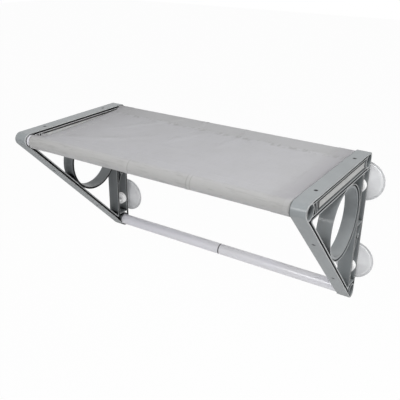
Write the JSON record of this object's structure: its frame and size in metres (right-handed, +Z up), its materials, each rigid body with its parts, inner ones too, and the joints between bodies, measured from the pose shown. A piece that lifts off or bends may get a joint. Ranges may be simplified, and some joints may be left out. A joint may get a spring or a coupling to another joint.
{
  "type": "window mounted cat perch",
  "caption": "Fabric sling stretched on tubes between triangular moulded brackets that stand out from a window on suction cups.",
  "frame": {"origin": "on the glass, midway between the four suction cups", "axes": "+X along the perch to the right as seen from the room, +Y into the window, +Z up"},
  "size_m": [0.668, 0.319, 0.309],
  "materials": {
    "bracket": "moulded light grey plastic with a fine satin grain",
    "steel": "plain rolled steel",
    "screw": "plated countersunk screws",
    "tube": "white coated tube, semi-gloss",
    "joiner": "grey plastic sleeve",
    "cup": "soft, milky clear suction cup",
    "nut": "white moulded nut",
    "fabric": "close woven light grey cloth"
  },
  "bodies": {
    "frame": {"right_bracket": "bracket", "right_rail_bar": "steel", "right_strut_strip": "steel", "left_bracket": "bracket", "left_rail_bar": "steel", "left_strut_strip": "steel", "rail_screws": "screw", "strut_screws": "screw", "front_tube_right": "tube", "front_tube_left": "tube", "front_tube_joiner": "joiner", "rear_tube_right": "tube", "rear_tube_left": "tube", "rear_tube_joiner": "joiner", "lower_tube_right": "tube", "lower_tube_left": "tube", "lower_tube_joiner": "joiner", "fabric_sling": "fabric"},
    "upper_right_cup_set": {"upper_right_cup": "cup", "upper_right_cup_nut": "nut"},
    "upper_left_cup_set": {"upper_left_cup": "cup", "upper_left_cup_nut": "nut"},
    "lower_right_cup_set": {"lower_right_cup": "cup", "lower_right_cup_nut": "nut"},
    "lower_left_cup_set": {"lower_left_cup": "cup", "lower_left_cup_nut": "nut"}
  },
  "joints": [
    {"name": "upper_right_cup_turn", "type": "hinge", "parent": "frame", "child": "upper_right_cup_set", "pos_m": [0.2935, 0, 0.086], "axis": [0, 1, 0], "continuous": true},
    {"name": "upper_left_cup_turn", "type": "hinge", "parent": "frame", "child": "upper_left_cup_set", "pos_m": [-0.2935, 0, 0.086], "axis": [0, 1, 0], "continuous": true},
    {"name": "lower_right_cup_turn", "type": "hinge", "parent": "frame", "child": "lower_right_cup_set", "pos_m": [0.2935, 0, -0.086], "axis": [0, 1, 0], "continuous": true},
    {"name": "lower_left_cup_turn", "type": "hinge", "parent": "frame", "child": "lower_left_cup_set", "pos_m": [-0.2935, 0, -0.086], "axis": [0, 1, 0], "continuous": true}
  ]
}
